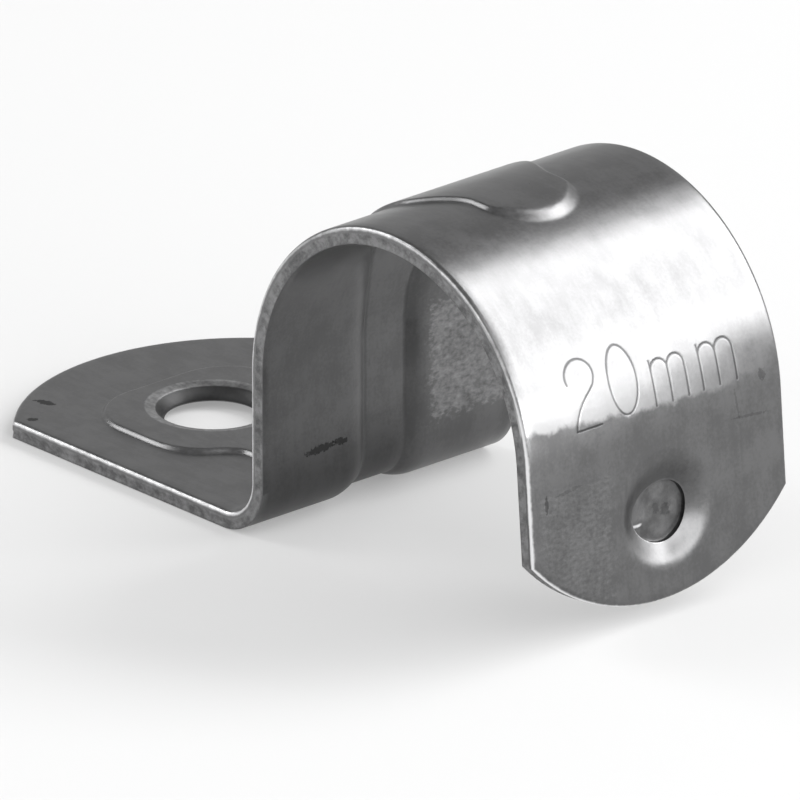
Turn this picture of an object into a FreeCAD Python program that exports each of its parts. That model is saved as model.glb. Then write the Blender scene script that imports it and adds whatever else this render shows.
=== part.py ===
import FreeCAD, Part
import math
import os
from FreeCAD import Placement, Rotation, Vector

# Conduit strap, pressed from one piece of sheet steel, in millimetres and degrees.
# The origin is on the conduit's axis, half way along the strap's width.
# The conduit runs along Y, the foot points to -X, and the free leg hangs at +X.

# Sheet and main bends
bore_radius = 10.0        # inside of the arch, on a 20 mm conduit
sheet = 1.0               # thickness of the steel
strap_width = 18.0        # along the conduit
axis_height = 9.6         # conduit axis above the surface that the foot lies on
bend_radius = 2.2         # concave side of the bend between foot and wall
leg_flare = 4.5           # how far the free leg leans outwards

# Rounded ends
foot_reach = 33.9         # from the conduit axis to the foot's tip
foot_tip_radius = 12.4
leg_drop = 8.6            # from the conduit axis down to the leg's tip
leg_tip_radius = 12.0

# Pressed rib, which runs from the pad on the foot up the wall and over the crown
rib_height = 0.36
rib_side_run = 0.4        # how wide the rib's sloping side is
recess_inset = 0.6        # how much narrower than the rib its hollow back is, on each side
recess_nose_angle = 109.0  # where the round end of the hollow back has its centre
neck_half_width = 3.15    # through the bend and up the wall
neck_fillet = 0.7         # hollow corner where the neck meets the pad
widening_angle = 170.0    # on the arch, counted from +X, where the rib starts to widen
shoulder_angle = 116.0    # where it is widest
shoulder_half_width = 4.5
waist_angle = 92.0        # where it is down to the nose's width
nose_radius = 2.9         # round end of the rib on the crown
nose_angle = 91.0         # centre of the round end

# Pad round the screw hole
pad_offset = 23.8         # of its centre from the conduit axis
pad_half_length = 5.2
pad_half_width = 5.9
pad_corner_radius = 3.9

# Screw hole with a rolled upper edge
hole_offset = 24.1        # from the conduit axis
hole_radius = 2.6
hole_rollover = 0.55

# Dimple on the free leg, pressed towards the conduit
dimple_drop = 3.8         # below the conduit axis
dimple_radius = 3.4       # where the dish starts
dimple_depth = 0.65       # of the dish, down to the punched edge
punch_radius = 1.8        # opening of the flat-bottomed punch mark
punch_depth = 0.9         # its floor below the outer face
bump_height = 0.55        # of the matching bump inside the leg
bump_base_radius = 3.0
bump_top_radius = 1.3

# Working clearances, which leave no trace on the finished strap
bite = 0.4                # how far an added form reaches into the sheet
overshoot = 1.0           # how far a cutter reaches past what it cuts

half_width = strap_width / 2
outer_radius = bore_radius + sheet
bend_centre = Vector(-(outer_radius + bend_radius), 0, -axis_height + sheet + bend_radius)
side_slope = rib_side_run / rib_height


def polar(radius, degrees, y=0.0):
    angle = math.radians(degrees)
    return Vector(radius * math.cos(angle), y, radius * math.sin(angle))


def line(a, b):
    return Part.LineSegment(a, b).toShape()


def arc(a, middle, b):
    return Part.Arc(a, middle, b).toShape()


def bend_point(radius, degrees):
    return bend_centre + polar(radius, degrees)


def leg_point(radius, along):
    # A point on the leg: along is measured from the end of the arch, radius as on the arch.
    down = Vector(math.sin(math.radians(leg_flare)), 0, -math.cos(math.radians(leg_flare)))
    return polar(radius, leg_flare) + down * along


def leg_length():
    arch_end = outer_radius * math.sin(math.radians(leg_flare))
    return (leg_drop + arch_end) / math.cos(math.radians(leg_flare))


# Sheet bent along its profile, before pressing

def bent_sheet():
    # The profile's inner line is the side that faces the surface and the conduit.
    reach = leg_length()
    wall_turn = polar(1, 135)
    inner = [
        Vector(-foot_reach, 0, -axis_height),
        bend_point(bend_radius + sheet, -90),
        bend_point(bend_radius + sheet, 0),
        Vector(-bore_radius, 0, 0),
        polar(bore_radius, leg_flare),
        leg_point(bore_radius, reach),
    ]
    outer = [
        Vector(-foot_reach, 0, -axis_height + sheet),
        bend_point(bend_radius, -90),
        bend_point(bend_radius, 0),
        Vector(-outer_radius, 0, 0),
        polar(outer_radius, leg_flare),
        leg_point(outer_radius, reach),
    ]
    edges = []
    sides = ((inner, bend_radius + sheet, bore_radius), (outer, bend_radius, outer_radius))
    for points, bend, radius in sides:
        edges.append(line(points[0], points[1]))
        edges.append(arc(points[1], bend_point(bend, -45), points[2]))
        edges.append(line(points[2], points[3]))
        edges.append(arc(points[3], wall_turn * radius, points[4]))
        edges.append(line(points[4], points[5]))
    edges.append(line(inner[0], outer[0]))
    edges.append(line(inner[5], outer[5]))
    profile = Part.Face(Part.Wire(Part.__sortEdges__(edges)))
    profile.translate(Vector(0, -half_width, 0))
    return profile.extrude(Vector(0, strap_width, 0))


def end_waste(tip_radius, depth):
    # What a round end leaves of a square one. The end's tip is at the origin and
    # points to -X, and the cutter reaches depth both ways along Z.
    sagitta = tip_radius - math.sqrt(tip_radius ** 2 - half_width ** 2)
    width = strap_width + 2 * overshoot
    block = Part.makeBox(sagitta + overshoot, width, 2 * depth, Vector(-overshoot, -width / 2, -depth))
    disc = Part.makeCylinder(tip_radius, 2 * depth, Vector(tip_radius, 0, -depth))
    return block.cut(disc)


def trim_ends(strap):
    foot = end_waste(foot_tip_radius, sheet + overshoot)
    foot.translate(Vector(-foot_reach, 0, -axis_height))
    leg = end_waste(leg_tip_radius, sheet + overshoot)
    upright = Rotation(Vector(0, 1, 0), -90 - leg_flare)
    leg.Placement = Placement(leg_point(bore_radius, leg_length()), upright)
    return strap.cut(foot).cut(leg)


# Pressed form: it is added on the outer face, and a narrower and shorter one is taken from the inner face

def section(half, place):
    # Trapezium across the rib. half is its half width on the sheet's face, and place
    # turns (y, height over the face) into a point.
    corners = []
    for y_sign, height in ((-1, -bite), (1, -bite), (1, rib_height), (-1, rib_height)):
        corners.append(place(y_sign * (half - side_slope * height), height))
    return Part.makePolygon(corners + [corners[0]])


def neck_on_foot(face, inset):
    half = neck_half_width - inset
    start = -pad_offset
    wire = section(half, lambda y, height: Vector(start, y, -axis_height + face + height))
    return Part.Face(wire).extrude(Vector(bend_centre.x - start, 0, 0))


def neck_in_bend(face, inset):
    half = neck_half_width - inset
    radius = bend_radius + sheet - face
    wire = section(half, lambda y, height: bend_centre + Vector(0, y, height - radius))
    return Part.Face(wire).revolve(bend_centre, Vector(0, -1, 0), 90)


def neck_on_wall(face, inset):
    half = neck_half_width - inset
    wire = section(half, lambda y, height: Vector(-(bore_radius + face + height), y, bend_centre.z))
    return Part.Face(wire).extrude(Vector(0, 0, -bend_centre.z))


def smooth_step(value, start, end):
    t = min(max((value - start) / (end - start), 0.0), 1.0)
    return t * t * (3 - 2 * t)


def rib_half_width(angle):
    # Neck at the wall, widest at the shoulder, and narrow again before the nose.
    if angle > shoulder_angle:
        widening = smooth_step(angle, widening_angle, shoulder_angle)
        return neck_half_width + (shoulder_half_width - neck_half_width) * widening
    narrowing = smooth_step(angle, shoulder_angle, waist_angle)
    return shoulder_half_width + (nose_radius - shoulder_half_width) * narrowing


def rib_over_arch(face, inset, end_angle):
    # Ends at end_angle with the nose's width, wherever that is on the arch.
    steps = 24
    sections = []
    for i in range(steps + 1):
        angle = 180.0 + (end_angle - 180.0) * i / steps
        half = rib_half_width(180.0 + (nose_angle - 180.0) * i / steps) - inset
        sections.append(section(half, lambda y, height: polar(bore_radius + face + height, angle, y)))
    return Part.makeLoft(sections, True, False)


def rib_nose(face, inset, end_angle):
    # Half a cone about the arch's radius at end_angle, kept between the rib's base and top.
    half = nose_radius - inset
    face_radius = bore_radius + face
    low = face_radius - bite - half / 2
    high = face_radius + rib_height + bite
    axis = polar(1, end_angle)
    profile = [axis * low]
    for radius in (low, high):
        profile.append(axis * radius + Vector(0, half - side_slope * (radius - face_radius), 0))
    profile.append(axis * high)
    cone = Part.Face(Part.makePolygon(profile + [profile[0]])).revolve(Vector(0, 0, 0), -axis, 180)
    side = Vector(0, -half_width, 0)
    ring = Part.makeCylinder(face_radius + rib_height, strap_width, side, Vector(0, 1, 0))
    hollow = Part.makeCylinder(face_radius - bite, strap_width, side, Vector(0, 1, 0))
    return cone.common(ring.cut(hollow))


def pad_outline(inset, z):
    # Rounded block with hollow corners into the neck, drawn from the neck round to the neck.
    near_end = -pad_offset + pad_half_length - inset
    far_end = -pad_offset - pad_half_length + inset
    side = pad_half_width - inset
    corner = pad_corner_radius - inset
    hollow = neck_fillet + inset
    neck = neck_half_width - inset
    # The hollow corner touches the neck's side and the pad's round corner from outside.
    corner_y = side - corner
    corner_x = near_end - corner
    hollow_y = neck + hollow
    hollow_x = corner_x + math.sqrt((corner + hollow) ** 2 - (hollow_y - corner_y) ** 2)
    lean = math.atan2(hollow_y - corner_y, hollow_x - corner_x)
    neck_end = hollow_x + neck_fillet

    def half(sign):
        def at(x, y):
            return Vector(x, sign * y, z)

        def on_corner(angle):
            return at(corner_x + corner * math.cos(angle), corner_y + corner * math.sin(angle))

        def on_hollow(angle):
            return at(hollow_x + hollow * math.cos(angle), hollow_y + hollow * math.sin(angle))

        left_x = far_end + corner
        diagonal = corner * math.sqrt(0.5)
        touch = on_corner(lean)
        return [
            line(at(neck_end, neck), at(hollow_x, neck)),
            arc(at(hollow_x, neck), on_hollow((lean - math.pi / 2 - math.pi) / 2), touch),
            arc(touch, on_corner((lean + math.pi / 2) / 2), at(corner_x, side)),
            line(at(corner_x, side), at(left_x, side)),
            arc(at(left_x, side), at(left_x - diagonal, corner_y + diagonal), at(far_end, corner_y)),
        ]

    edges = half(1)
    edges.append(line(Vector(far_end, corner_y, z), Vector(far_end, -corner_y, z)))
    edges.extend(reversed(half(-1)))
    edges.append(line(Vector(neck_end, -neck, z), Vector(neck_end, neck, z)))
    return Part.Wire(edges)


def pad(face, inset):
    z = -axis_height + face
    low = pad_outline(inset - side_slope * bite, z - bite)
    high = pad_outline(inset + side_slope * rib_height, z + rib_height)
    return Part.makeLoft([low, high], True, True)


def pressed_form(face, inset, end_angle):
    form = pad(face, inset)
    for piece in (neck_on_foot, neck_in_bend, neck_on_wall):
        form = form.fuse(piece(face, inset))
    return form.fuse(rib_over_arch(face, inset, end_angle)).fuse(rib_nose(face, inset, end_angle))


# Screw hole

def screw_hole():
    top = -axis_height + sheet + rib_height
    edge = hole_radius + hole_rollover
    lip = top - hole_rollover
    bulge = hole_rollover * (1 - math.sqrt(0.5))
    outline = [
        line(Vector(0, 0, -axis_height - overshoot), Vector(hole_radius, 0, -axis_height - overshoot)),
        line(Vector(hole_radius, 0, -axis_height - overshoot), Vector(hole_radius, 0, lip)),
        arc(Vector(hole_radius, 0, lip), Vector(hole_radius + bulge, 0, top - bulge), Vector(edge, 0, top)),
        line(Vector(edge, 0, top), Vector(edge, 0, top + overshoot)),
        line(Vector(edge, 0, top + overshoot), Vector(0, 0, top + overshoot)),
        line(Vector(0, 0, top + overshoot), Vector(0, 0, -axis_height - overshoot)),
    ]
    cutter = Part.Face(Part.Wire(outline)).revolve(Vector(0, 0, 0), Vector(0, 0, 1), 360)
    cutter.translate(Vector(-hole_offset, 0, 0))
    return cutter


# Dimple on the leg, turned about the leg's own normal

def on_leg(shape, radius):
    # Puts a shape turned about +Z so that its origin is on the leg's face and +Z points outwards.
    arch_end = radius * math.sin(math.radians(leg_flare))
    along = (dimple_drop + arch_end) / math.cos(math.radians(leg_flare))
    shape.Placement = Placement(leg_point(radius, along), Rotation(Vector(0, 1, 0), 90 - leg_flare))
    return shape


def turned(edges):
    return Part.Face(Part.Wire(edges)).revolve(Vector(0, 0, 0), Vector(0, 0, 1), 360)


def dimple():
    # The dish rolls over from the leg's face and steepens towards the punched edge.
    run = dimple_radius - punch_radius
    roll = (run ** 2 + dimple_depth ** 2) / (2 * dimple_depth)
    turn = math.asin(run / roll) / 2
    middle = Vector(dimple_radius - roll * math.sin(turn), 0, -roll * (1 - math.cos(turn)))
    outline = [
        line(Vector(0, 0, -punch_depth), Vector(punch_radius, 0, -punch_depth)),
        line(Vector(punch_radius, 0, -punch_depth), Vector(punch_radius, 0, -dimple_depth)),
        arc(Vector(punch_radius, 0, -dimple_depth), middle, Vector(dimple_radius, 0, 0)),
        line(Vector(dimple_radius, 0, 0), Vector(dimple_radius, 0, overshoot)),
        line(Vector(dimple_radius, 0, overshoot), Vector(0, 0, overshoot)),
        line(Vector(0, 0, overshoot), Vector(0, 0, -punch_depth)),
    ]
    return on_leg(turned(outline), outer_radius)


def bump():
    outline = [
        line(Vector(0, 0, bite), Vector(bump_base_radius, 0, bite)),
        line(Vector(bump_base_radius, 0, bite), Vector(bump_base_radius, 0, 0)),
        line(Vector(bump_base_radius, 0, 0), Vector(bump_top_radius, 0, -bump_height)),
        line(Vector(bump_top_radius, 0, -bump_height), Vector(0, 0, -bump_height)),
        line(Vector(0, 0, -bump_height), Vector(0, 0, bite)),
    ]
    return on_leg(turned(outline), bore_radius)


def build_strap():
    strap = trim_ends(bent_sheet())
    strap = strap.fuse(pressed_form(sheet, 0.0, nose_angle))
    strap = strap.cut(pressed_form(0.0, recess_inset, recess_nose_angle))
    strap = strap.fuse(bump()).cut(dimple())
    strap = strap.cut(screw_hole())
    return strap.removeSplitter()


os.makedirs("parts", exist_ok=True)
shape = build_strap()
solids = shape.Solids
print("solids", len(solids), "valid", shape.isValid(), "volume", round(shape.Volume, 2))
box = shape.BoundBox
print("box", [round(v, 3) for v in (box.XMin, box.XMax, box.YMin, box.YMax, box.ZMin, box.ZMax)])
solids[0].exportStep("parts/strap.step")
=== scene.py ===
import math

import bmesh
import bpy
import numpy as np
from mathutils import Matrix, Vector


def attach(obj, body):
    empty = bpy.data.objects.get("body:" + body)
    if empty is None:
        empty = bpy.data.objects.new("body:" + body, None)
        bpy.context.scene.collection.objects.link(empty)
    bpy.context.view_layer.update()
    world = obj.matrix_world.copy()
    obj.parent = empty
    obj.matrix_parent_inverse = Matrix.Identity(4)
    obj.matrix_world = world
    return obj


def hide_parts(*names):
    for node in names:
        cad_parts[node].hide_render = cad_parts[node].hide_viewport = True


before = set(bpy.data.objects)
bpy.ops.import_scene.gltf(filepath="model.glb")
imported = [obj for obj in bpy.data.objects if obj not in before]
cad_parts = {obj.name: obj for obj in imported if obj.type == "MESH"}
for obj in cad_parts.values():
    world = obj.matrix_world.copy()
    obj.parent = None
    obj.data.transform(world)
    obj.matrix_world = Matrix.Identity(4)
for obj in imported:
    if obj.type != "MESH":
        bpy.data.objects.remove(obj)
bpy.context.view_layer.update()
print("frame loaded")

# The strap's own sizes, in millimetres and degrees. The strip is modelled flat, with s along it
# from the foot's tip and y across it, and bent to its profile at the end.
strip = {
    "boreRadius": 10.0,
    "thickness": 1.0,
    "halfWidth": 9.0,
    "axisHeight": 9.6,
    "bendRadius": 2.2,
    "legFlare": 4.5,
    "footReach": 33.9,
    "footTipRadius": 12.4,
    "legDrop": 8.6,
    "legTipRadius": 12.0,
    "columns": 40,          # faces across it
    "rowSpacing": {"foot": 0.4, "bend": 0.12, "wall": 0.4, "arch": 0.26, "leg": 0.4},
    "endFade": 12.0,        # how far the round ends still curve the rows
    "sharpFrom": 38.0,      # angle from which an edge is drawn sharp
}
outerRadius = strip["boreRadius"] + strip["thickness"]
flare = math.radians(strip["legFlare"])
bendX = -(outerRadius + strip["bendRadius"])
bendZ = strip["thickness"] + strip["bendRadius"] - strip["axisHeight"]
bendStart = strip["footReach"] + bendX
wallStart = bendStart + strip["bendRadius"] * math.pi / 2
archStart = wallStart - bendZ
legStart = archStart + outerRadius * (math.pi - flare)
stripEnd = legStart + (strip["legDrop"] + outerRadius * math.sin(flare)) / math.cos(flare)


def smoothStep(value, start, end):
    t = np.clip((value - start) / (end - start), 0.0, 1.0)
    return t * t * (3 - 2 * t)


def alongArch(degrees):
    # Place along the strip of an angle on the arch, counted from +X
    return archStart + outerRadius * (math.pi - np.radians(degrees))


def wrapStrip(flat):
    # Bends flat points (s, y, height over the outer face) onto the profile, in metres
    s, y, h = flat.T
    x = s - strip["footReach"]
    z = h + strip["thickness"] - strip["axisHeight"]
    turn = np.clip((s - bendStart) / strip["bendRadius"], 0, math.pi / 2) - math.pi / 2
    reach = strip["bendRadius"] - h
    x = np.where(s > bendStart, bendX + reach * np.cos(turn), x)
    z = np.where(s > bendStart, bendZ + reach * np.sin(turn), z)
    x = np.where(s > wallStart, -outerRadius - h, x)
    z = np.where(s > wallStart, bendZ + s - wallStart, z)
    angle = np.maximum(math.pi - (s - archStart) / outerRadius, flare)
    x = np.where(s > archStart, (outerRadius + h) * np.cos(angle), x)
    z = np.where(s > archStart, (outerRadius + h) * np.sin(angle), z)
    down = np.maximum(s - legStart, 0)
    x = x + down * math.sin(flare)
    z = z - down * math.cos(flare)
    return np.stack([x, y, z], axis=1) * 0.001


# Pressed form: its line is the middle of the sloping side
rib = {
    "height": 0.24,
    "run": 0.36,            # width of the sloping side
    "noseRun": 1.15,        # and at the front of the round end over the crown
    "noseFront": (0.5, 2.5),    # where it grows to that, past the nose's centre
    "noseShift": 0.15,      # share of the growth that lies outside the line
    "neckHalf": 2.9,
    "shoulderHalf": 4.3,
    "noseRadius": 2.9,
    "widensFrom": 168.0,
    "shoulderAt": 115.0,
    "narrowsFrom": 113.0,
    "waistAt": 91.0,
    "noseAt": 88.5,
    "padAt": 10.1,
    "padHalfLength": 4.95,
    "padHalfWidth": 5.69,
    "padCorner": 3.65,
    "neckFillet": 1.0,
}
hollow = {
    "inset": 0.75,          # from the rib's line to the hollow's
    "depth": 0.41,
    "run": 1.5,
    "cornerFrom": 0.9,      # share of the slope before the tight corner
    "noseAt": 109.0,
}


def ribHalfWidth(s):
    angle = 180 - np.degrees((s - archStart) / outerRadius)
    wide = smoothStep(angle, rib["widensFrom"], rib["shoulderAt"])
    narrow = smoothStep(angle, rib["narrowsFrom"], rib["waistAt"])
    half = rib["neckHalf"] + (rib["shoulderHalf"] - rib["neckHalf"]) * wide
    return half + (rib["noseRadius"] - rib["shoulderHalf"]) * narrow


def ribDistance(s, y):
    # Signed distance to the rib's line, negative inside
    noseS = alongArch(rib["noseAt"])
    slope = (ribHalfWidth(s + 0.01) - ribHalfWidth(s - 0.01)) / 0.02
    band = (np.abs(y) - ribHalfWidth(s)) / np.sqrt(1 + slope ** 2)
    nose = np.hypot(s - noseS, y) - rib["noseRadius"]
    band = np.where(s > noseS, nose, np.maximum(band, rib["padAt"] - s))
    across = np.abs(s - rib["padAt"]) - rib["padHalfLength"] + rib["padCorner"]
    along = np.abs(y) - rib["padHalfWidth"] + rib["padCorner"]
    outside = np.hypot(np.maximum(across, 0), np.maximum(along, 0))
    padSide = outside + np.minimum(np.maximum(across, along), 0) - rib["padCorner"]
    fillet = rib["neckFillet"]
    corner = np.hypot(np.maximum(fillet - band, 0), np.maximum(fillet - padSide, 0))
    return np.maximum(fillet, np.minimum(band, padSide)) - corner


def hollowDistance(s, y):
    # The hollow back follows the rib but ends earlier on the arch
    stretch = (180 - rib["noseAt"]) / (180 - hollow["noseAt"])
    s = np.where(s > archStart, archStart + (s - archStart) * stretch, s)
    return ribDistance(s, y) + hollow["inset"]


# Size mark: plain strokes, given as (y, arc length up from the level of the conduit's axis)
mark = {
    "halfStroke": 0.1,
    "halfFloor": 0.02,      # of the groove's floor
    "halfDark": 0.03,       # of the painted shade's darkest part
    "depth": 0.014,
    "box": (-6.0, 6.3, 1.6, 6.4),
    # the 2 is the part of an oval above a level, then a bow down to the base line
    "twoOval": (-4.58, 4.92, 0.97, 0.94, 40),
    "twoFrom": 4.5,
    "twoCentre": (-4.58, 4.3),
    "twoBow": [(-3.80, 4.30), (-4.10, 4.02), (-4.42, 3.78), (-4.72, 3.50), (-5.00, 3.16), (-5.22, 2.78),
               (-5.36, 2.40), (-5.42, 2.10), (-3.66, 2.10)],
    "zeroOval": (-1.78, 4.04, 0.95, 1.89, 44),
    "letterLegs": [(0.2, 1.35, 2.5), (3.55, 4.7, 5.9)],
    "letterFoot": 2.1,
    "letterTop": 4.5,
}


def ovalStroke(centreY, centreA, halfY, halfA, steps):
    points = []
    for i in range(steps + 1):
        angle = 2 * math.pi * i / steps
        points.append((centreY + halfY * math.cos(angle), centreA + halfA * math.sin(angle)))
    return points


def letterM(legs, foot, top):
    # Three legs joined by two round shoulders
    strokes = [[(legs[0], foot), (legs[0], top)]]
    for left, right in zip(legs, legs[1:]):
        half = (right - left) / 2
        shoulder = [(left, top - half * 1.1)]
        for i in range(9):
            angle = math.pi * (1 - i / 8)
            shoulder.append((left + half + half * math.cos(angle), top - half + half * math.sin(angle)))
        shoulder.append((right, foot))
        strokes.append(shoulder)
    return strokes


def markStrokes():
    y, a = mark["twoCentre"]
    two = [p for p in ovalStroke(*mark["twoOval"])[:-1] if p[1] > mark["twoFrom"]]
    two.sort(key=lambda p: math.atan2(p[1] - a, p[0] - y), reverse=True)
    strokes = [two + mark["twoBow"], ovalStroke(*mark["zeroOval"])]
    for legs in mark["letterLegs"]:
        strokes += letterM(legs, mark["letterFoot"], mark["letterTop"])
    return strokes


def markDistance(s, y):
    # Distance to the nearest stroke, or a large number outside the mark's box
    a = archStart + outerRadius * math.pi - s
    nearest = np.full(s.shape, 9.0)
    left, right, low, high = mark["box"]
    near = (y > left) & (y < right) & (a > low) & (a < high)
    p = np.stack([y[near], a[near]], axis=1)
    best = np.full(len(p), 9.0)
    for stroke in markStrokes():
        for start, end in zip(stroke, stroke[1:]):
            start, step = np.array(start), np.subtract(end, start)
            t = np.clip((p - start) @ step / (step @ step), 0, 1)
            best = np.minimum(best, np.linalg.norm(p - start - t[:, None] * step, axis=1))
    nearest[near] = best
    return nearest


def grooveDepth(s, y):
    # 1 in the middle of the mark's grooves, kept for the painted shade in them
    return smoothStep(markDistance(s, y), mark["halfStroke"], mark["halfDark"])


# Dimple on the leg, and the bump behind it
dimple = {
    "at": legStart + (3.67 + outerRadius * math.sin(flare)) / math.cos(flare),
    "side": 0.4,
    "radius": 3.4,
    "depth": 0.58,
    "punchRadius": 1.83,
    "punchDepth": 0.86,
    "softShare": 0.55,      # of the drop that ends softly at the punched edge
    "rows": 16,             # of the dish
    "floorRings": 15,
    "steps": 96,
    "margin": 0.25,         # flat ring round the dish
    "bumpAt": legStart + (3.67 + strip["boreRadius"] * math.sin(flare)) / math.cos(flare),
    "bumpHeight": 0.55,
    "bumpRadius": 2.15,     # middle of its slope
    "bumpRun": 1.9,
}
# How the punched mark departs from a round one, seen with the leg's tip down
punch = {
    "reach": 3.0,           # radius from which the dish follows it
    "egg": (0.03, 0.5),     # share and turn of its three soft corners
    "scale": (0.92, 1.03),  # along the leg and across it
    "drop": 0.25,
    "shadePaint": 0.45,          # painted shade in the upper half of the dish
    "cut": 0.25,
    # painted shade on the punched floor, less on the ledge
    "floorShade": 0.55,
    "rimShade": 0.6,         # painted shade at the lower right of the floor
    "ledge": 0.1,           # height of the raised ledge at the left
    "wave": 0.03,
    "lipHighlight": 0.6,          # painted highlight: a bright line at the ledge's end
    "rimHighlight": 0.3,          # painted highlight on the rim at the lower left
}


def ribRun(s):
    # The slope is steep along the sides and gentler, growing inward, at the front of the nose
    noseS = alongArch(rib["noseAt"])
    start, end = rib["noseFront"]
    front = smoothStep(s, noseS + start, noseS + end)
    return rib["run"] + (rib["noseRun"] - rib["run"]) * front


def outerHeight(s, y):
    run = ribRun(s)
    foot = rib["run"] / 2 + rib["noseShift"] * (run - rib["run"])
    height = rib["height"] * smoothStep(ribDistance(s, y), foot, foot - run)
    return height - mark["depth"] * smoothStep(markDistance(s, y), mark["halfStroke"], mark["halfFloor"])


def innerHeight(s, y):
    # The hollow's slope starts softly on the sheet and meets the hollow's floor in a tight corner
    rise = np.clip(0.5 - hollowDistance(s, y) / hollow["run"], 0, 1)
    corner = hollow["cornerFrom"]
    share = np.where(rise < corner, rise ** 2 / corner, 1 - (1 - rise) ** 2 / (1 - corner))
    height = hollow["depth"] * share
    radius = np.hypot(s - dimple["bumpAt"], y - dimple["side"])
    edge = dimple["bumpRadius"] + dimple["bumpRun"] / 2
    bump = dimple["bumpHeight"] * smoothStep(radius, edge, edge - dimple["bumpRun"])
    return height - bump - strip["thickness"]


def cornerDistance(s, y):
    # Signed distance to the hollow's deep corner
    return hollowDistance(s, y) + hollow["run"] / 2


# Painted shade inside, at the wall's foot by the bend and along the hollow's deep corner: (strength, where
# it starts and is full), along the strip and across it
shadePaint = {
    "wallFoot": (0.5, (27.0, 24.0), (3.0, 0.0)),
    "corner": (0.4, (0.16, 0.02)),      # by the distance from the hollow's deep corner
}


def innerShade(s, y):
    # Painted shade: darker at the wall's foot and along the hollow's deep corner
    cornerShade, (far, near) = shadePaint["corner"]
    corner = smoothStep(np.abs(cornerDistance(s, y)), far, near)
    footShade, (high, low), (right, left) = shadePaint["wallFoot"]
    foot = smoothStep(s, high, low) * smoothStep(y, right, left)
    return np.maximum(footShade * foot, cornerShade * corner)


# Painted reflection: the lamp's bright band over the side of the arch carried lower in the colour; its lower
# border as (y, angle on the arch)
paintedReflection = {
    "border": [(-9.0, 14.0), (-7.2, 12.6), (-5.5, 12.9), (-4.2, 11.8), (-3.1, 12.2), (-1.9, 10.2),
               (-0.7, 10.6), (0.6, 9.8), (1.8, 10.7), (3.4, 9.2), (5.0, 9.4), (6.4, 11.2), (7.6, 10.4),
               (9.0, 12.5)],
    "fade": (16.0, 27.0),       # angles between which it fades out upward
    "strengthAt": (-6.0, 1.0, 8.0),     # places across the strip, and the strength there
    "strength": (0.6, 0.32, 0.0),
}


def reflectionBorder(y):
    places, angles = zip(*paintedReflection["border"])
    return alongArch(np.interp(y, places, angles))


def reflectionShare(s, y):
    low, high = paintedReflection["fade"]
    share = np.interp(y, paintedReflection["strengthAt"], paintedReflection["strength"])
    return share * smoothStep(s, alongArch(high), alongArch(low))


# Outline of the blank and its sheared edge: (inset from the outline, height), from the outer face down
shear = {
    "rollover": 0.3,
    "burr": 0.06,
    "rings": [(0.21, -0.012), (0.13, -0.04), (0.07, -0.085), (0.03, -0.14), (0.008, -0.2), (0.0, -0.27),
              (0.0, -0.34), (0.0, -0.42), (0.0, -0.5), (0.035, -0.6), (0.045, -0.72), (0.02, -0.84),
              (0.0, -0.93), (0.015, -0.98), (0.06, -1.0)],
    "rubbedAndHighlit": (-0.16, 0.14),    # middle and half width of the band rubbed bright by the die, whose colour also carries a painted highlight along the edge
    "rubAndHighlightShare": {"foot": 0.55, "bend": 0.7, "wall": 0.9, "arch": 0.5, "leg": 1.0},
    "face": (-0.4, -0.97),      # heights of the torn face under it
}


def outlinePoint(row, across, inset):
    # A point of the flat strip: row is its place along the strip before the round ends are formed
    y = across * (strip["halfWidth"] - inset)
    footEnd = strip["footTipRadius"] - np.sqrt((strip["footTipRadius"] - inset) ** 2 - y ** 2)
    legEnd = strip["legTipRadius"] - np.sqrt((strip["legTipRadius"] - inset) ** 2 - y ** 2)
    fade = strip["endFade"]
    s = row + footEnd * np.maximum(1 - row / fade, 0)
    s = s - legEnd * np.maximum(1 - (stripEnd - row) / fade, 0)
    return s, y


def rowStations():
    stations = [0.0]
    ends = {"foot": bendStart, "bend": wallStart, "wall": archStart, "arch": legStart, "leg": stripEnd}
    for part, end in ends.items():
        count = round((end - stations[-1]) / strip["rowSpacing"][part])
        stations.extend(np.linspace(stations[-1], end, count + 1)[1:])
    return stations


def rubAndHighlightShare(row):
    # How bright the rubbed band and its painted highlight are along the strip
    steps = [("foot", 0.0), ("foot", bendStart - 1), ("bend", bendStart + 1), ("wall", wallStart + 1),
             ("arch", archStart + 4), ("arch", alongArch(40)), ("leg", alongArch(15)), ("leg", stripEnd)]
    levels = [shear["rubAndHighlightShare"][part] for part, place in steps]
    return np.interp(row, [place for part, place in steps], levels)


def boxDepth(s, y, box):
    # 1 at the border of a box of the flat strip, 2 well inside it and 0 well outside
    s0, s1, y0, y1 = box
    return 1 + np.clip(np.minimum(np.minimum(s - s0, s1 - s), np.minimum(y - y0, y1 - y)), -1, 1)


def addFace(bm, inset, height):
    # One side of the strip as a grid, with its edge at the given inset
    stations = rowStations()
    rows = len(stations) - 1
    made = bmesh.ops.create_grid(bm, x_segments=rows, y_segments=strip["columns"], size=1.0)
    rowLayer = bm.verts.layers.float["row"]
    acrossLayer = bm.verts.layers.float["across"]
    for v in made["verts"]:
        row = stations[round((v.co.x + 1) / 2 * rows)]
        s, y = outlinePoint(row, v.co.y, inset)
        v[rowLayer] = row
        v[acrossLayer] = v.co.y
        v.co = (s, y, height)
    return list({f for v in made["verts"] for f in v.link_faces})


def refine(bm, faces, wanted):
    # Splits the faces whose centres are wanted, and returns all faces of that side
    centres = np.array([f.calc_center_median() for f in faces])
    chosen = wanted(centres[:, 0], centres[:, 1])
    edges = {e for f, keep in zip(faces, chosen) if keep for e in f.edges if not e.is_boundary}
    otherSide = set(bm.faces) - set(faces)
    bmesh.ops.subdivide_edges(bm, edges=list(edges), cuts=1, use_grid_fill=True)
    return [f for f in bm.faces if f not in otherSide]


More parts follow.
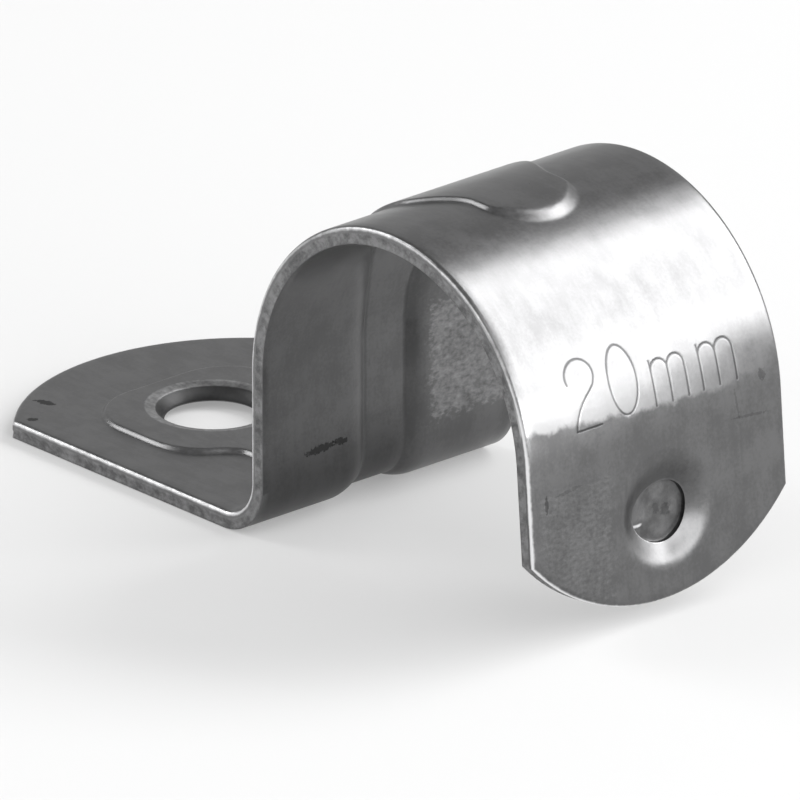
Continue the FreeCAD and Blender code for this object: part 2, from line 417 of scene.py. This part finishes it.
def setHeights(faces, height):
    verts = list({v for f in faces for v in f.verts})
    place = np.array([v.co for v in verts])
    for v, h in zip(verts, height(place[:, 0], place[:, 1])):
        v.co.z = h


def paint(bm, faces, name, amount):
    # Keeps a number from 0 to 1 on the vertices for the material
    layer = bm.verts.layers.float[name]
    verts = list({v for f in faces for v in f.verts})
    place = np.array([v.co for v in verts])
    for v, value in zip(verts, amount(place[:, 0], place[:, 1])):
        v[layer] = value


def openHole(bm, faces, centre, radius):
    # Takes away the faces over a round patch, and returns the opening's edges and the faces left
    middle = np.array(centre)
    gone = []
    for f in faces:
        corners = np.array([v.co[:2] for v in f.verts])
        if np.linalg.norm(corners - middle, axis=1).min() < radius:
            gone.append(f)
    goneSet = set(gone)
    rim = {e for f in gone for e in f.edges if any(g not in goneSet for g in e.link_faces)}
    bmesh.ops.delete(bm, geom=gone, context="FACES")
    return list(rim), [f for f in faces if f.is_valid]


def spinPatch(bm, centre, profile, steps):
    # Turns the profile (radius, height) about the centre and returns the patch's open edges
    verts = [bm.verts.new((centre[0] + r, centre[1], h)) for r, h in profile]
    edges = [bm.edges.new(pair) for pair in zip(verts, verts[1:])]
    before = set(bm.verts) - set(verts)
    bmesh.ops.spin(bm, geom=verts + edges, cent=(centre[0], centre[1], 0), axis=(0, 0, 1),
                   angle=2 * math.pi, steps=steps, use_merge=True)
    made = [v for v in bm.verts if v not in before]
    bmesh.ops.remove_doubles(bm, verts=made, dist=1e-4)
    made = {v for v in bm.verts if v not in before}
    return list({e for v in made for e in v.link_edges if len(e.link_faces) == 1})


def ringAt(edges, centre, radius):
    def onRing(v):
        return abs(math.hypot(v.co.x - centre[0], v.co.y - centre[1]) - radius) < 0.02
    return [e for e in edges if onRing(e.verts[0]) and onRing(e.verts[1])]


screwHole = {
    "at": strip["footReach"] - 24.1,
    "radius": 2.6,
    "bevel": [(3.62, 0.0), (3.5, -0.012), (3.38, -0.04), (3.24, -0.075), (3.12, -0.11), (3.04, -0.15),
              (2.94, -0.23), (2.84, -0.33), (2.75, -0.44), (2.68, -0.55), (2.63, -0.66), (2.605, -0.74),
              (2.6, -0.8)],
    "burr": 0.04,
    "shadeFrom": 3.06,       # radius under which the rolled rim is darkened with painted shade
    "paintedShade": 0.9,
    "rubAndHighlight": 0.24,            # painted highlight on the bevel outside that radius
    "paintedTo": -0.55,     # lowest height of both
    "patch": 3.75,          # outer radius of the turned patch, and of the one on the inner side
    "innerPatch": 3.05,
    "steps": 96,
}
openingMargin = 0.06        # of an opening in a grid past the patch that fills it


def holeProfile():
    top = rib["height"]
    floor = hollow["depth"] - strip["thickness"]
    radius, burr = screwHole["radius"], screwHole["burr"]
    profile = [(screwHole["patch"], top)] + [(r, top + h) for r, h in screwHole["bevel"]]
    return profile + [(radius, floor + burr), (radius + burr, floor), (screwHole["innerPatch"], floor)]


def dimpleProfile():
    # Rolls over softly from the leg's face and falls to the punched edge
    edge = dimple["punchRadius"]
    run = dimple["radius"] - edge
    soft = dimple["softShare"]
    profile = [(dimple["radius"] + dimple["margin"], 0.0)]
    for i in range(dimple["rows"] + 1):
        share = i / dimple["rows"]
        drop = dimple["depth"] * (soft * share ** 2 * (3 - 2 * share) + (1 - soft) * share ** 2)
        profile.append((dimple["radius"] - run * share, -drop))
    floor = -dimple["punchDepth"]
    profile += [(edge, -dimple["depth"] - 0.08), (edge - 0.01, floor + 0.08), (edge - 0.04, floor + 0.02)]
    return profile + [(r, floor) for r in np.linspace(edge - 0.09, 0.0, dimple["floorRings"])]


def shapePunch(bm, centre):
    # The punched mark isn't quite round, and its floor has a raised ledge at one side. Painted shade and
    # painted highlights are also kept on its vertices
    shadeLayer = bm.verts.layers.float["paintedShade"]
    cutLayer = bm.verts.layers.float["cut"]
    rubAndHighlightLayer = bm.verts.layers.float["rubAndHighlight"]
    edge = dimple["punchRadius"]
    eggShare, eggTurn = punch["egg"]
    longScale, wideScale = punch["scale"]
    for v in bm.verts:
        up, y = centre[0] - v.co.x, v.co.y - centre[1]
        radius = math.hypot(up, y)
        if radius > dimple["radius"] or v.co.z < -dimple["punchDepth"] - 0.02:
            continue
        squeeze = 1 - eggShare * math.cos(3 * math.atan2(up, y) + eggTurn)
        share = float(np.clip((punch["reach"] - radius) / (punch["reach"] - edge), 0, 1))
        v.co.x += share * (up * (1 - longScale * squeeze) + punch["drop"])
        v.co.y += share * y * (wideScale * squeeze - 1)
        if radius > edge + 0.005:
            # Painted shade over the upper half of the dish
            shadedShare = smoothStep(up / radius, 0.0, 0.9) * smoothStep(radius, 3.2, 2.2)
            v[shadeLayer] = float(punch["shadePaint"] * shadedShare)
        elif v.co.z < -dimple["depth"] - 0.02:
            onFloor = radius < edge - 0.03
            ledge = smoothStep(-y - 0.25 * up, 0.6, 1.2) * smoothStep(up, -0.8, -0.1)
            lowerRight = smoothStep(0.85 * y - 0.5 * up, 0.6, 1.6)
            atRim = smoothStep(radius, edge - 0.25, edge - 0.1)
            lip = abs(up + 0.55 - 0.35 * (y + 1.4) ** 2)
            lipShare = smoothStep(lip, 0.17, 0.03) * smoothStep(-y, 0.9, 1.2) * onFloor
            v[cutLayer] = punch["cut"]
            # Painted shade on the punched floor, less on the raised ledge and more at the lower right rim
            v[shadeLayer] = float(punch["floorShade"] * (1 - ledge) + punch["rimShade"] * lowerRight * atRim)
            # Painted highlight: a bright line along the ledge's end
            v[rubAndHighlightLayer] = float(punch["lipHighlight"] * lipShare)
            if onFloor:
                wave = math.sin(3.1 * y + 1.0) * math.sin(2.7 * up)
                v.co.z += punch["ledge"] * ledge + punch["wave"] * wave
        elif radius > edge - 0.005:
            # Painted highlight on the rim at the lower left
            lowerLeft = smoothStep(-0.7 * y - 0.7 * up, 0.9, 1.5) * smoothStep(v.co.z, -0.7, -0.6)
            v[rubAndHighlightLayer] = float(punch["rimHighlight"] * lowerLeft)


# Which parts of the two grids are split finer, as distances past the forms
detail = {
    "outer": ((0.4, 0.5), (0.12, 0.3), (-0.02, 0.18)),      # past the rib's slope and from the mark
    "hollow": 0.3,
    "bump": 0.2,
    "corner": 0.35,         # from the hollow's deep corner
}


def buildStrap():
    bm = bmesh.new()
    for name in ("row", "across") + zinc["painted"]:
        bm.verts.layers.float.new(name)
    outer = addFace(bm, shear["rollover"], 0.0)
    inner = addFace(bm, shear["burr"], -strip["thickness"])
    bmesh.ops.reverse_faces(bm, faces=inner)
    print("grids", len(outer), len(inner))

    for ribMargin, markMargin in detail["outer"]:
        outer = refine(bm, outer, lambda s, y: (np.abs(ribDistance(s, y)) < rib["run"] / 2 + ribMargin)
                       | (markDistance(s, y) < markMargin))
    slopeReach = hollow["run"] / 2 + detail["hollow"]
    bumpReach = dimple["bumpRadius"] + dimple["bumpRun"] / 2 + detail["bump"]
    inner = refine(bm, inner, lambda s, y: (np.abs(hollowDistance(s, y)) < slopeReach)
                   | (np.hypot(s - dimple["bumpAt"], y - dimple["side"]) < bumpReach))
    inner = refine(bm, inner, lambda s, y: np.abs(cornerDistance(s, y)) < detail["corner"])
    setHeights(outer, outerHeight)
    setHeights(inner, innerHeight)
    # Painted shade in the mark's grooves
    paint(bm, outer, "groove", grooveDepth)
    paint(bm, inner, "inside", lambda s, y: np.ones(s.shape))
    paint(bm, inner, "patch", lambda s, y: boxDepth(s, y, zinc["innerPatch"]))
    # Painted shade at the wall's foot and along the hollow's deep corner
    paint(bm, inner, "paintedShade", innerShade)
    paint(bm, outer, "patch", lambda s, y: boxDepth(s, y, zinc["legPatch"]))
    # Painted reflection over the side of the arch
    paint(bm, outer, "reflectionEdge", lambda s, y: np.clip(reflectionBorder(y) - s, -1, 1))
    paint(bm, outer, "paintedReflection", lambda s, y: reflectionShare(s, y))
    print("faces after refining", len(outer), len(inner))

    # Screw hole through both sides
    centre = (screwHole["at"], 0.0)
    patch, innerPatch = screwHole["patch"], screwHole["innerPatch"]
    outerRim, outer = openHole(bm, outer, centre, patch + openingMargin)
    innerRim, inner = openHole(bm, inner, centre, innerPatch + openingMargin)
    border = spinPatch(bm, centre, holeProfile(), screwHole["steps"])
    shadeLayer = bm.verts.layers.float["paintedShade"]
    rubAndHighlightLayer = bm.verts.layers.float["rubAndHighlight"]
    # Painted shade on the hole's rolled rim, and a painted highlight on the bevel round it
    for v in bm.verts:
        radius = math.hypot(v.co.x - centre[0], v.co.y)
        if radius < patch - 0.02 and v.co.z > screwHole["paintedTo"]:
            v[shadeLayer] = screwHole["paintedShade"] * float(radius < screwHole["shadeFrom"])
            v[rubAndHighlightLayer] = screwHole["rubAndHighlight"] * float(radius > screwHole["shadeFrom"])
    for rim, radius in ((outerRim, patch), (innerRim, innerPatch)):
        bmesh.ops.triangle_fill(bm, edges=rim + ringAt(border, centre, radius), use_beauty=True)

    # Dimple with its blind punch mark
    centre = (dimple["at"], dimple["side"])
    patch = dimple["radius"] + dimple["margin"]
    rim, outer = openHole(bm, outer, centre, patch + openingMargin)
    border = spinPatch(bm, centre, dimpleProfile(), dimple["steps"])
    shapePunch(bm, centre)
    bmesh.ops.triangle_fill(bm, edges=rim + ringAt(border, centre, patch), use_beauty=True)
    print("hole and dimple made")

    # Sheared edge: the outer grid's border is taken down to the inner grid's
    cutLayer = bm.verts.layers.float["cut"]
    insideLayer = bm.verts.layers.float["inside"]
    rowLayer = bm.verts.layers.float["row"]
    acrossLayer = bm.verts.layers.float["across"]
    ring = [e for e in bm.edges if e.is_boundary and e.verts[0].co.z > -0.5]
    for inset, height in shear["rings"]:
        made = bmesh.ops.extrude_edge_only(bm, edges=ring)["geom"]
        ring = [g for g in made if isinstance(g, bmesh.types.BMEdge)]
        for v in {v for e in ring for v in e.verts}:
            s, y = outlinePoint(v[rowLayer], v[acrossLayer], inset)
            v.co = (s, y, height)
            v[cutLayer] = float(shear["face"][1] < height < shear["face"][0])
            # The rubbed band's colour also carries a painted highlight along the edge
            away = abs(height - shear["rubbedAndHighlit"][0]) / shear["rubbedAndHighlit"][1]
            v[rubAndHighlightLayer] = max(1 - away, 0.0) * float(rubAndHighlightShare(v[rowLayer]))
            v[insideLayer] = float(height < shear["face"][1])
    bmesh.ops.remove_doubles(bm, verts=[v for v in bm.verts if v.is_boundary], dist=0.002)
    bmesh.ops.recalc_face_normals(bm, faces=bm.faces)
    openEdges = sum(1 for e in bm.edges if not e.is_manifold)
    print("faces", len(bm.faces), "open edges", openEdges)
    return bm


def finishMesh(name, bm):
    # Bends the flat mesh and keeps the flat place of each vertex for the material
    mesh = bpy.data.meshes.new(name)
    bm.to_mesh(mesh)
    bm.free()
    flat = np.zeros(len(mesh.vertices) * 3, np.float32)
    mesh.vertices.foreach_get("co", flat)
    place = mesh.attributes.new("flatPlace", "FLOAT_VECTOR", "POINT")
    place.data.foreach_set("vector", flat)
    bent = wrapStrip(flat.reshape(-1, 3).astype(float))
    mesh.vertices.foreach_set("co", bent.astype(np.float32).ravel())
    mesh.polygons.foreach_set("use_smooth", [True] * len(mesh.polygons))
    mesh.update()
    mesh.set_sharp_from_angle(angle=math.radians(strip["sharpFrom"]))
    piece = bpy.data.objects.new(name, mesh)
    bpy.context.scene.collection.objects.link(piece)
    return piece


class Value:
    # A shader value that can be used in sums
    def __init__(self, nodes, socket):
        self.nodes = nodes
        self.socket = socket

    def math(self, operation, other, swap=False):
        pair = (other, self) if swap else (self, other)
        return self.nodes.add("ShaderNodeMath", {"operation": operation}, {0: pair[0], 1: pair[1]})

    def __add__(self, other):
        return self.math("ADD", other)

    def __radd__(self, other):
        return self.math("ADD", other)

    def __sub__(self, other):
        return self.math("SUBTRACT", other)

    def __rsub__(self, other):
        return self.math("SUBTRACT", other, swap=True)

    def __mul__(self, other):
        return self.math("MULTIPLY", other)

    def __rmul__(self, other):
        return self.math("MULTIPLY", other)


class NodeSheet:
    # A material's nodes
    def __init__(self, name):
        self.material = bpy.data.materials.new(name)
        self.material.use_nodes = True
        self.tree = self.material.node_tree
        self.tree.nodes.clear()

    def add(self, kind, settings=None, inputs=None, output=0):
        node = self.tree.nodes.new(kind)
        for key, value in (settings or {}).items():
            setattr(node, key, value)
        for key, value in (inputs or {}).items():
            if isinstance(value, Value):
                self.tree.links.new(value.socket, node.inputs[key])
            else:
                node.inputs[key].default_value = value
        return Value(self, node.outputs[output]) if len(node.outputs) else None

    def noise(self, place, scale, detail=2.0, roughness=0.5, stretch=None):
        if stretch:
            place = self.add("ShaderNodeMapping", None, {"Vector": place, "Scale": stretch})
        inputs = {"Vector": place, "Scale": scale, "Detail": detail, "Roughness": roughness}
        return self.add("ShaderNodeTexNoise", None, inputs)

    def spot(self, place, centre, reach, turn, edgeNoise):
        # 1 inside an oval about the centre, turned by an angle and with an uneven, soft edge
        moved = {"Vector": place, "Location": centre, "Rotation": (0, 0, math.radians(turn)), "Scale": reach}
        place = self.add("ShaderNodeMapping", {"vector_type": "TEXTURE"}, moved)
        far = self.add("ShaderNodeVectorMath", {"operation": "LENGTH"}, {0: place}, output=1)
        return self.between(far + 2.2 * (edgeNoise - 0.5), 1.2, 0.8)

    def between(self, value, low, high, toLow=0.0, toHigh=1.0):
        inputs = {0: value, 1: low, 2: high, 3: toLow, 4: toHigh}
        return self.add("ShaderNodeMapRange", {"interpolation_type": "SMOOTHSTEP"}, inputs)


zinc = {
    "light": 0.21,          # reflectance of the plating
    "dark": 0.17,
    "inside": 0.64,         # painted shade: the inner face's colour as a share of the outer face's
    "cutLight": 0.28,       # torn steel of the sheared face
    "cutDark": 0.12,
    "rubbedAndHighlit": 0.85,         # steel rubbed bright, and the level of the painted highlights
    "reflectionPaint": 0.7,         # level of the painted reflection
    "leg": 0.72,            # painted shade: the leg's colour as a share of the rest of the outer face's
    "legFrom": (60.8, 63.8),    # places along the strip where the leg's painted shade starts and is full
    "legSlant": 0.28,       # how much sooner it starts for each millimetre across
    "grooveDark": 0.66,     # share that the painted shade in the mark's grooves and the other painted shade take away
    "shadeDark": 0.8,
    "roughness": 0.32,
    "grain": 0.012,         # height of the fine grain, in millimetres
    # stains: (s, y, height over the outer face), (reach along s, y, height), turn in degrees, strength
    "stains": [
        ((3.1, -6.0, 0.0), (0.62, 0.26, 0.5), 16.0, 0.85),
        ((4.45, -8.1, 0.0), (0.3, 0.22, 0.5), 40.0, 0.85),
        ((25.3, -4.9, -1.0), (0.22, 1.0, 0.4), -4.0, 0.6),
        ((25.35, -3.5, -1.0), (0.2, 0.5, 0.4), 8.0, 0.6),
        ((dimple["at"] + 0.35, 1.05, -0.9), (0.30, 0.32, 0.4), 0.0, 0.35),
        ((dimple["at"] + 0.1, 0.4, -0.9), (0.34, 0.2, 0.4), 30.0, 0.25),
        # marks on the leg
        ((66.4, -7.9, 0.0), (0.45, 0.12, 0.3), 0.0, 0.45),
        ((66.0, -6.3, 0.0), (0.1, 0.9, 0.3), 6.0, 0.13),
        ((64.3, 5.7, 0.0), (0.8, 0.07, 0.3), 8.0, 0.2),
        ((65.2, 6.6, 0.0), (0.08, 1.1, 0.3), -5.0, 0.2),
        ((63.2, 7.6, 0.0), (0.3, 0.25, 0.3), 20.0, 0.3),
    ],
    # coarser patches, as (from s, to s, from y, to y)
    "innerPatch": (24.6, 31.8, 2.75, 8.4),
    "legPatch": (65.8, 72.8, -8.5, -3.2),
    "painted": ("cut", "rubAndHighlight", "inside", "groove", "paintedShade", "patch", "reflectionEdge", "paintedReflection"),
}


def zincSteel():
    sheet = NodeSheet("zincSteel")
    flat = sheet.add("ShaderNodeAttribute", {"attribute_name": "flatPlace"}, None, output=1)
    layers = [sheet.add("ShaderNodeAttribute", {"attribute_name": name}, None, output=2)
              for name in zinc["painted"]]
    cut, rubAndHighlight, inside, groove, paintedShade, patch, reflectionEdge, reflectionLevel = layers
    patches = sheet.noise(flat, 0.45, 3.0, 0.6)
    grain = sheet.noise(flat, 5.0, 3.0, 0.6)
    rolling = sheet.noise(flat, 1.0, 3.0, 0.6, stretch=(0.5, 2.5, 2.5))
    tone = sheet.between(patches * 0.5 + grain * 0.3 + rolling * 0.2, 0.35, 0.65)
    level = sheet.between(tone, 0.0, 1.0, zinc["dark"], zinc["light"])
    lean = {0: flat, 1: (1.0, zinc["legSlant"], 0.0)}
    slant = sheet.add("ShaderNodeVectorMath", {"operation": "DOT_PRODUCT"}, lean, output=1)
    onLeg = sheet.between(slant, *zinc["legFrom"])
    # Painted shade: the inner face and the leg are darkened
    level = level * (1 - (1 - zinc["inside"]) * inside) * (1 - (1 - zinc["leg"]) * onLeg)

    # Coarse patches, and the painted reflection over the side of the arch
    coarse = sheet.noise(flat, 3.6, 2.0, 0.5, stretch=(1.3, 0.75, 1.0))
    patch = sheet.between(patch + 1.4 * (coarse - 0.5), 0.95, 1.6)
    level = level * (1 + patch * (0.5 * inside - 0.08 + (1.2 * inside + 0.7) * (coarse - 0.5)))
    ragged = sheet.noise(flat, 1.0, 3.0, 0.6)
    reflectionPaint = reflectionLevel * sheet.between(reflectionEdge + 1.1 * (ragged - 0.5), -0.1, 0.35)
    level = level + reflectionPaint * (zinc["reflectionPaint"] - level)
    # Painted shade: darker in the mark's grooves, along the hollow's deep corner, at the wall's foot, in the
    # dish, on the punched floor and on the screw hole's rim
    level = level * (1 - zinc["grooveDark"] * groove) * (1 - zinc["shadeDark"] * paintedShade)

    # Sheared face, and the rubbed edge with its painted highlight, which also carries the painted highlights
    # of the punched mark and the screw hole's bevel
    torn = sheet.noise(flat, 1.6, 4.0, 0.7)
    bare = sheet.between(torn, 0.3, 0.7, zinc["cutDark"], zinc["cutLight"])
    level = level + cut * (bare - level)
    patchy = rubAndHighlight + 0.5 * (sheet.noise(flat, 2.6, 3.0, 0.6) - 0.5)
    rubbedAndHighlighted = sheet.between(patchy, 0.05, 0.75) * sheet.between(rubAndHighlight, 0.0, 0.1)
    level = level + rubbedAndHighlighted * (zinc["rubbedAndHighlit"] - level)

    # Stains
    blot = sheet.noise(flat, 5.0, 3.0, 0.7)
    for centre, reach, turn, strength in zinc["stains"]:
        level = level * (1 - strength * sheet.spot(flat, centre, reach, turn, blot))

    colour = sheet.add("ShaderNodeCombineColor", None, {0: level, 1: level, 2: level * 1.01})
    rough = zinc["roughness"] + 0.10 * (patches - 0.5) + 0.14 * (grain - 0.5)
    rough = rough + 0.14 * cut + 0.1 * patch + 0.2 * paintedShade
    height = 0.45 * grain + 0.12 * sheet.noise(flat, 14.0, 2.0) + 6.0 * sheet.noise(flat, 0.5, 1.0)
    height = height + patch * coarse * 1.9 + cut * torn * 4.0
    relief = {"Strength": 0.35, "Distance": zinc["grain"] * 0.001, "Height": height}
    bump = sheet.add("ShaderNodeBump", None, relief)
    surface = sheet.add("ShaderNodeBsdfPrincipled", None, {
        "Base Color": colour, "Metallic": 1.0, "Roughness": rough, "Normal": bump})
    sheet.add("ShaderNodeOutputMaterial", None, {"Surface": surface})
    return sheet.material


strap = finishMesh("strapBody", buildStrap())
strap.data.materials.append(zincSteel())
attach(strap, "root")
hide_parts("strap")
print("strap made", len(strap.data.vertices), "vertices")


# Floor, lamps, world and camera
studio = {
    "floorSize": 3.0,
    "floorGap": 0.00002,    # under the foot, in metres
    "floorLevel": 0.62,
    "floorGlow": 0.3,       # share of plain white that is seen and reflected in the floor
    "world": 0.27,
    "distance": 0.8,
    "lamps": {
        # towards it from the strap, its long axis, length and width in metres, brightness
        "behindRight": ((0.372, 0.727, 0.578), (0.806, 0.0, -0.592), 0.93, 0.30, 8.6),
        "behindUp": ((-0.16, 0.64, 0.75), (0.98, 0.0, 0.2), 0.13, 0.32, 1.2),
        "upperLeft": ((-0.72, -0.37, 0.59), (0.60, -0.30, 0.74), 0.62, 0.20, 4.8),
        "overhead": ((0.0, 0.0, 1.0), (1.0, 0.0, 0.0), 0.30, 0.26, 0.2),
        "leftFill": ((-0.72, 0.60, 0.36), (0.6, 0.8, 0.0), 1.1, 0.6, 0.27),
        "frontFill": ((0.10, -0.84, 0.53), (0.9, 0.16, 0.0), 0.50, 0.30, 2.1),
        "frontLow": ((-0.62, -0.72, 0.28), (0.78, -0.62, 0.0), 0.70, 0.30, 1.5),
        "right": ((0.93, 0.06, 0.33), (-0.06, 0.99, 0.0), 0.82, 0.52, 4.8),
        "aboveRight": ((0.57, 0.0, 0.82), (0.0, 1.0, 0.0), 0.76, 0.34, 1.5),
        "lowBack": ((0.42, 0.88, 0.16), (0.9, -0.43, 0.0), 0.34, 0.22, 3.2),
    },
}


def addFloor():
    bm = bmesh.new()
    bmesh.ops.create_grid(bm, x_segments=2, y_segments=2, size=studio["floorSize"] / 2)
    low = -strip["axisHeight"] * 0.001 - studio["floorGap"]
    bmesh.ops.translate(bm, verts=bm.verts, vec=(0, 0, low))
    mesh = bpy.data.meshes.new("floor")
    bm.to_mesh(mesh)
    bm.free()
    floor = bpy.data.objects.new("floor", mesh)
    bpy.context.scene.collection.objects.link(floor)
    sheet = NodeSheet("paleFloor")
    level = studio["floorLevel"]
    pale = {"Base Color": (level, level, level, 1), "Roughness": 0.9}
    matt = sheet.add("ShaderNodeBsdfPrincipled", None, pale)
    white = sheet.add("ShaderNodeEmission", None, {"Color": (1, 1, 1, 1), "Strength": 1.0})
    rays = [sheet.add("ShaderNodeLightPath", None, None, output="Is %s Ray" % kind)
            for kind in ("Camera", "Glossy", "Transmission")]
    share = (rays[0] + rays[1] + rays[2]) * studio["floorGlow"]
    surface = sheet.add("ShaderNodeMixShader", None, {0: share, 1: matt, 2: white})
    sheet.add("ShaderNodeOutputMaterial", None, {"Surface": surface})
    mesh.materials.append(sheet.material)


def addLamps():
    for name, (towards, longAxis, length, width, brightness) in studio["lamps"].items():
        lamp = bpy.data.lights.new(name, "AREA")
        lamp.shape = "RECTANGLE"
        lamp.size = length
        lamp.size_y = width
        lamp.energy = brightness * math.pi * length * width
        holder = bpy.data.objects.new(name, lamp)
        back = Vector(towards).normalized()
        up = back.cross(Vector(longAxis)).normalized()
        holder.rotation_euler = Matrix((up.cross(back), up, back)).transposed().to_euler()
        holder.location = back * studio["distance"]
        holder.visible_camera = False
        bpy.context.scene.collection.objects.link(holder)


def addWorld():
    world = bpy.data.worlds.new("studio")
    world.use_nodes = True
    level = studio["world"]
    world.node_tree.nodes["Background"].inputs["Color"].default_value = (level, level, level, 1)
    bpy.context.scene.world = world


camera = {
    "azimuth": 48.13,
    "elevation": 22.05,
    "lookAt": (-3.887, -4.751, -0.677),
    "width": 42.15,         # of the frame at that point, in millimetres
    "lens": 1600.0,
}


def addCamera():
    data = bpy.data.cameras.new("camera")
    data.sensor_width = 36
    data.lens = camera["lens"]
    distance = camera["width"] * 0.001 * data.lens / data.sensor_width
    data.clip_start = distance * 0.5
    data.clip_end = distance * 4
    turn, rise = math.radians(camera["azimuth"]), math.radians(camera["elevation"])
    back = Vector((math.sin(turn) * math.cos(rise), -math.cos(turn) * math.cos(rise), math.sin(rise)))
    holder = bpy.data.objects.new("camera", data)
    holder.location = Vector(camera["lookAt"]) * 0.001 + back * distance
    holder.rotation_mode = "QUATERNION"
    holder.rotation_quaternion = (-back).to_track_quat("-Z", "Y")
    bpy.context.scene.collection.objects.link(holder)
    bpy.context.scene.camera = holder


addFloor()
addLamps()
addWorld()
addCamera()
bpy.context.scene.view_settings.view_transform = "Standard"
print("studio made")
